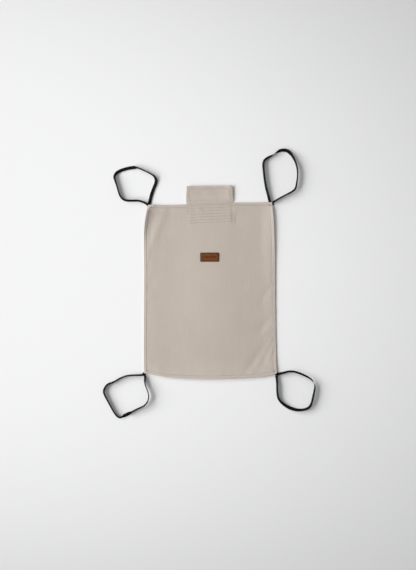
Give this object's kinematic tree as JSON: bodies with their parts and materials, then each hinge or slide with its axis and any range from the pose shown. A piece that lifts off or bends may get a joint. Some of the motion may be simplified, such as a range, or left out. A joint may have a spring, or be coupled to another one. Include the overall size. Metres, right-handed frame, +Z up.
{
  "type": "strap-on fabric panel",
  "caption": "Flat canvas panel like an apron, hemmed all round, with a fold-back closing tab at the head, elastic loops at the corners and a small leather label.",
  "frame": {"origin": "on the surface that the panel lies on, below the middle of the panel and its tab", "axes": "+Z up out of the panel's face, +Y towards the head edge with the tab, +X to the right seen from the face"},
  "size_m": [0.6724, 0.8556, 0.01],
  "materials": {
    "canvas": "plain weave cotton canvas, matt",
    "thread": "polyester sewing thread",
    "tape": "woven nylon hook-and-loop tape",
    "leather": "smooth vegetable-tanned leather with darkened edges",
    "elastic": "flat braided elastic",
    "black_thread": "polyester sewing thread"
  },
  "bodies": {
    "panel": {"body_cloth": "canvas", "hem_topstitch": "thread", "loop_tape": "tape", "tape_topstitch": "thread", "leather_label": "leather", "label_stitching": "thread", "tab_root": "canvas", "strap_tails_top_left": "elastic", "strap_tails_top_right": "elastic", "strap_tails_bottom_left": "elastic", "strap_tails_bottom_right": "elastic", "corner_tack_top_left": "thread", "corner_tack_top_right": "thread", "corner_tack_bottom_left": "thread", "corner_tack_bottom_right": "thread"},
    "tab": {"tab_flap": "canvas", "hook_tape": "tape", "tab_topstitch": "thread"},
    "loop_top_left": {"elastic_loop_top_left": "elastic", "loop_lap_top_left": "elastic", "lap_tacks_top_left": "black_thread"},
    "loop_top_right": {"elastic_loop_top_right": "elastic", "loop_lap_top_right": "elastic", "lap_tacks_top_right": "black_thread"},
    "loop_bottom_left": {"elastic_loop_bottom_left": "elastic", "loop_lap_bottom_left": "elastic", "lap_tacks_bottom_left": "black_thread"},
    "loop_bottom_right": {"elastic_loop_bottom_right": "elastic", "loop_lap_bottom_right": "elastic", "lap_tacks_bottom_right": "black_thread"}
  },
  "joints": [
    {"name": "tab_fold", "type": "hinge", "parent": "panel", "child": "tab", "pos_m": [0, 0.258, 0], "axis": [1, 0, 0], "range_deg": [-176, 140]},
    {"name": "loop_top_left_fold", "type": "hinge", "parent": "panel", "child": "loop_top_left", "pos_m": [-0.20047, 0.25248, 0.0008], "axis": [0.7071, 0.7071, 0], "range_deg": [-150, 130]},
    {"name": "loop_top_right_fold", "type": "hinge", "parent": "panel", "child": "loop_top_right", "pos_m": [0.20047, 0.25248, 0.0008], "axis": [0.7071, -0.7071, 0], "range_deg": [-150, 130]},
    {"name": "loop_bottom_left_fold", "type": "hinge", "parent": "panel", "child": "loop_bottom_left", "pos_m": [-0.21447, -0.29447, 0.0008], "axis": [-0.7071, 0.7071, 0], "range_deg": [-150, 130]},
    {"name": "loop_bottom_right_fold", "type": "hinge", "parent": "panel", "child": "loop_bottom_right", "pos_m": [0.21447, -0.29447, 0.0008], "axis": [-0.7071, -0.7071, 0], "range_deg": [-150, 130]}
  ]
}
